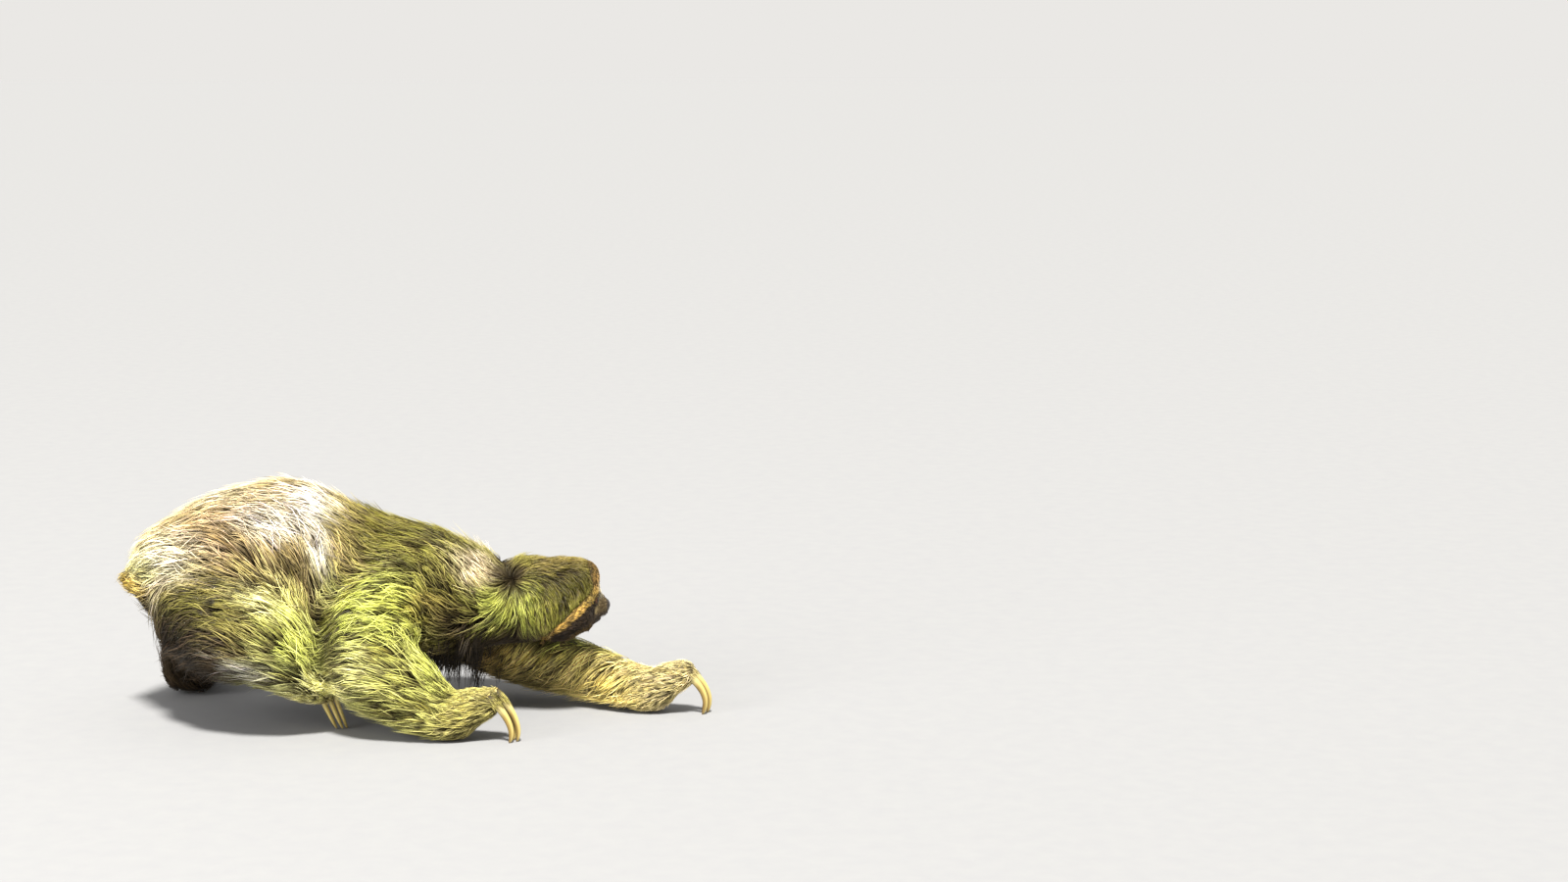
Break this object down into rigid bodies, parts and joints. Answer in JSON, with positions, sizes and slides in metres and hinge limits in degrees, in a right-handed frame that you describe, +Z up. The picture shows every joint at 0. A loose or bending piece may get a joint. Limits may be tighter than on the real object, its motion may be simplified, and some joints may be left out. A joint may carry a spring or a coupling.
{
  "type": "three-toed sloth",
  "caption": "Life-size sloth crawling over flat ground, head low, one arm reaching forward, with hooked claws and a shaggy green-tinged coat.",
  "frame": {"origin": "on the floor under the middle of the animal's box", "axes": "+X the way the animal crawls, +Y its left side, +Z up"},
  "size_m": [0.65, 0.3504, 0.265],
  "materials": {
    "coat_olive": "long coarse hair, olive with green algae, matt",
    "coat_pale": "pale tuft of hair, matt",
    "coat_gold": "short golden hair of hands and feet, matt",
    "nose_skin": "bare dark skin, slightly damp",
    "eye_dark": "wet, dark, glossy",
    "claw_horn": "yellow horn, satin"
  },
  "bodies": {
    "root": {"trunk": "coat_olive", "neck": "coat_olive", "head": "coat_olive", "tail": "coat_pale", "nose": "nose_skin", "right_eye": "eye_dark", "left_eye": "eye_dark", "right_upper_arm": "coat_olive", "right_forearm": "coat_olive", "right_hand": "coat_gold", "right_thigh": "coat_olive", "right_shank": "coat_olive", "right_foot": "coat_gold", "left_upper_arm": "coat_olive", "left_forearm": "coat_olive", "left_hand": "coat_gold", "left_thigh": "coat_olive", "left_shank": "coat_olive", "left_foot": "coat_gold", "right_hand_claw_1": "claw_horn", "right_hand_claw_2": "claw_horn", "right_hand_claw_3": "claw_horn", "right_foot_claw_1": "claw_horn", "right_foot_claw_2": "claw_horn", "right_foot_claw_3": "claw_horn", "left_hand_claw_1": "claw_horn", "left_hand_claw_2": "claw_horn", "left_hand_claw_3": "claw_horn", "left_foot_claw_1": "claw_horn", "left_foot_claw_2": "claw_horn", "left_foot_claw_3": "claw_horn"}
  },
  "joints": []
}
